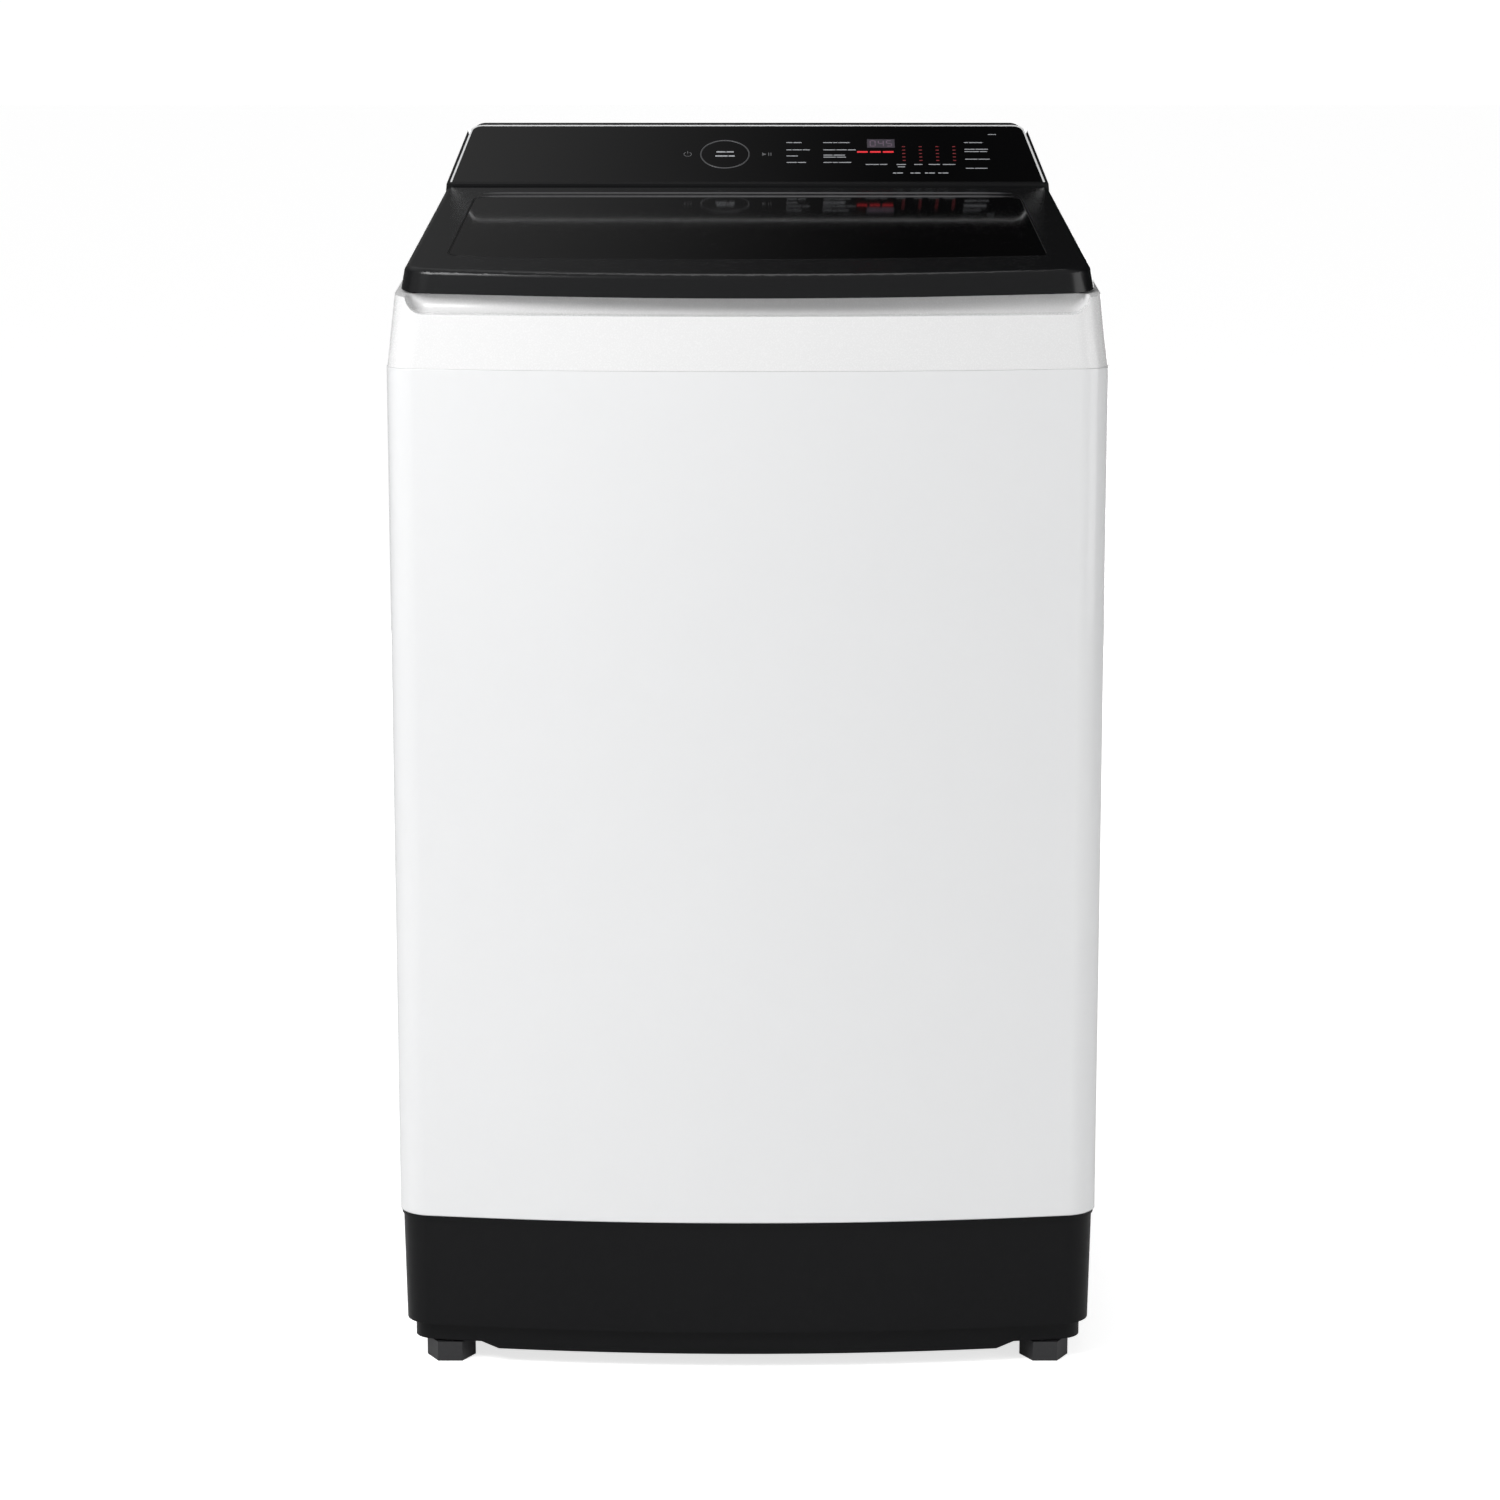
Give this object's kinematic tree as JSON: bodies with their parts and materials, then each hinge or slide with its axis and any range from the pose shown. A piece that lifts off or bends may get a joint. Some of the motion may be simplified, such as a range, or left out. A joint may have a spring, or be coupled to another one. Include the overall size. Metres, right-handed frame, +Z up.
{
  "type": "top load washing machine",
  "caption": "Top load washing machine with a hinged glass lid, sloping touch console, spring hung tub, perforated spin basket, pulsator, direct drive motor and levelling feet.",
  "frame": {"origin": "on the floor, under the middle of the machine's bounding box", "axes": "+X to the right seen from the front, +Y to the back, +Z up"},
  "size_m": [0.61, 0.675, 1.055],
  "materials": {
    "white_steel": "gloss enamel",
    "zinc_steel": "galvanised",
    "black_plastic": "fine texture",
    "white_plastic": "satin",
    "black_gloss": "gloss",
    "panel_gloss": "mirror gloss",
    "silver_trim": "bright",
    "board_green": "lacquered",
    "grey_plastic": "satin",
    "steel": "plain",
    "black_rubber": "matt",
    "dark_glass": "tinted tempered",
    "foot_black": "matt",
    "cast_aluminium": "as cast",
    "copper_coil": "lacquered wire",
    "stainless": "brushed",
    "magnet": "plated"
  },
  "bodies": {
    "cabinet": {"cabinet_wrap": "white_steel", "back_panel": "zinc_steel", "base_frame": "black_plastic", "top_cover": "white_plastic", "console_housing": "black_gloss", "console_panel": "panel_gloss", "console_trim": "silver_trim", "dial_ring": "silver_trim", "control_board": "board_green", "pressure_sensor": "white_plastic", "inlet_valve": "white_plastic", "drawer_housing": "grey_plastic", "hinge_brackets": "black_plastic", "lock_housing": "black_plastic", "corner_brackets": "zinc_steel", "suspension_rods": "steel", "suspension_springs": "steel", "drain_pump": "white_plastic", "discharge_tube": "black_rubber", "drain_bellows": "black_rubber", "drain_outlet": "black_plastic", "power_gland": "black_plastic", "foot_lock_nuts": "steel", "cabinet_screws": "steel"},
    "lid": {"lid_frame": "black_gloss", "lid_glass": "dark_glass", "lid_liner": "black_plastic", "lid_bumpers": "black_rubber", "lid_hinge_pins": "steel", "lid_strike": "black_plastic"},
    "drawer": {"detergent_drawer": "white_plastic"},
    "bolt": {"lock_bolt": "white_plastic"},
    "impeller": {"pump_impeller": "black_plastic"},
    "foot_fl": {"foot_front_left": "foot_black"},
    "foot_fr": {"foot_front_right": "foot_black"},
    "foot_rl": {"foot_rear_left": "foot_black"},
    "foot_rr": {"foot_rear_right": "foot_black"},
    "tub": {"outer_tub": "grey_plastic", "tub_cover": "white_plastic", "damper_caps": "white_plastic", "clutch_housing": "cast_aluminium", "clutch_coil": "copper_coil", "tub_seal": "black_rubber", "shaft_bearings": "steel", "motor_stator": "steel", "tub_bolts": "steel"},
    "basket": {"spin_basket": "stainless", "basket_base": "grey_plastic", "balance_ring": "white_plastic", "basket_hub": "cast_aluminium", "spin_shaft": "steel"},
    "sleeve": {"clutch_sleeve": "steel"},
    "filter_l": {"lint_filter_left": "grey_plastic"},
    "filter_r": {"lint_filter_right": "grey_plastic"},
    "wash_drive": {"pulsator": "grey_plastic", "pulsator_cap": "silver_trim", "wash_shaft": "steel", "motor_rotor": "steel", "rotor_magnets": "magnet"}
  },
  "joints": [
    {"name": "lid_hinge", "type": "hinge", "parent": "cabinet", "child": "lid", "pos_m": [0, 0.203, 0.986], "axis": [-1, 0, 0], "range_deg": [0, 100]},
    {"name": "tub_bounce", "type": "slide", "parent": "cabinet", "child": "tub", "axis": [0, 0, 1], "range_m": [-0.03, 0.01], "stiffness_N_per_m": 14000, "springref_m": 0.02336, "deforming": ["suspension_springs", "drain_bellows"]},
    {"name": "basket_spin", "type": "hinge", "parent": "tub", "child": "basket", "pos_m": [0, -0.012, 0.3], "axis": [0, 0, 1], "continuous": true},
    {"name": "wash_spin", "type": "hinge", "parent": "tub", "child": "wash_drive", "pos_m": [0, -0.012, 0.3], "axis": [0, 0, 1], "continuous": true},
    {"name": "sleeve_slide", "type": "slide", "parent": "basket", "child": "sleeve", "axis": [0, 0, -1], "range_m": [0, 0.008], "stiffness_N_per_m": 600, "springref_m": -0.006},
    {"name": "filter_left_slide", "type": "slide", "parent": "basket", "child": "filter_l", "axis": [1, 0, 0], "range_m": [0, 0.04]},
    {"name": "filter_right_slide", "type": "slide", "parent": "basket", "child": "filter_r", "axis": [-1, 0, 0], "range_m": [0, 0.04]},
    {"name": "drawer_slide", "type": "slide", "parent": "cabinet", "child": "drawer", "axis": [0, -1, 0], "range_m": [0, 0.11]},
    {"name": "lock_slide", "type": "slide", "parent": "cabinet", "child": "bolt", "axis": [1, 0, 0], "range_m": [0, 0.008]},
    {"name": "impeller_spin", "type": "hinge", "parent": "cabinet", "child": "impeller", "pos_m": [0.15, 0.167, 0.082], "axis": [0, 1, 0], "continuous": true},
    {"name": "foot_front_left_screw", "type": "slide", "parent": "cabinet", "child": "foot_fl", "axis": [0, 0, -1], "range_m": [0, 0.015]},
    {"name": "foot_front_right_screw", "type": "slide", "parent": "cabinet", "child": "foot_fr", "axis": [0, 0, -1], "range_m": [0, 0.015]},
    {"name": "foot_rear_left_screw", "type": "slide", "parent": "cabinet", "child": "foot_rl", "axis": [0, 0, -1], "range_m": [0, 0.015]},
    {"name": "foot_rear_right_screw", "type": "slide", "parent": "cabinet", "child": "foot_rr", "axis": [0, 0, -1], "range_m": [0, 0.015]}
  ]
}
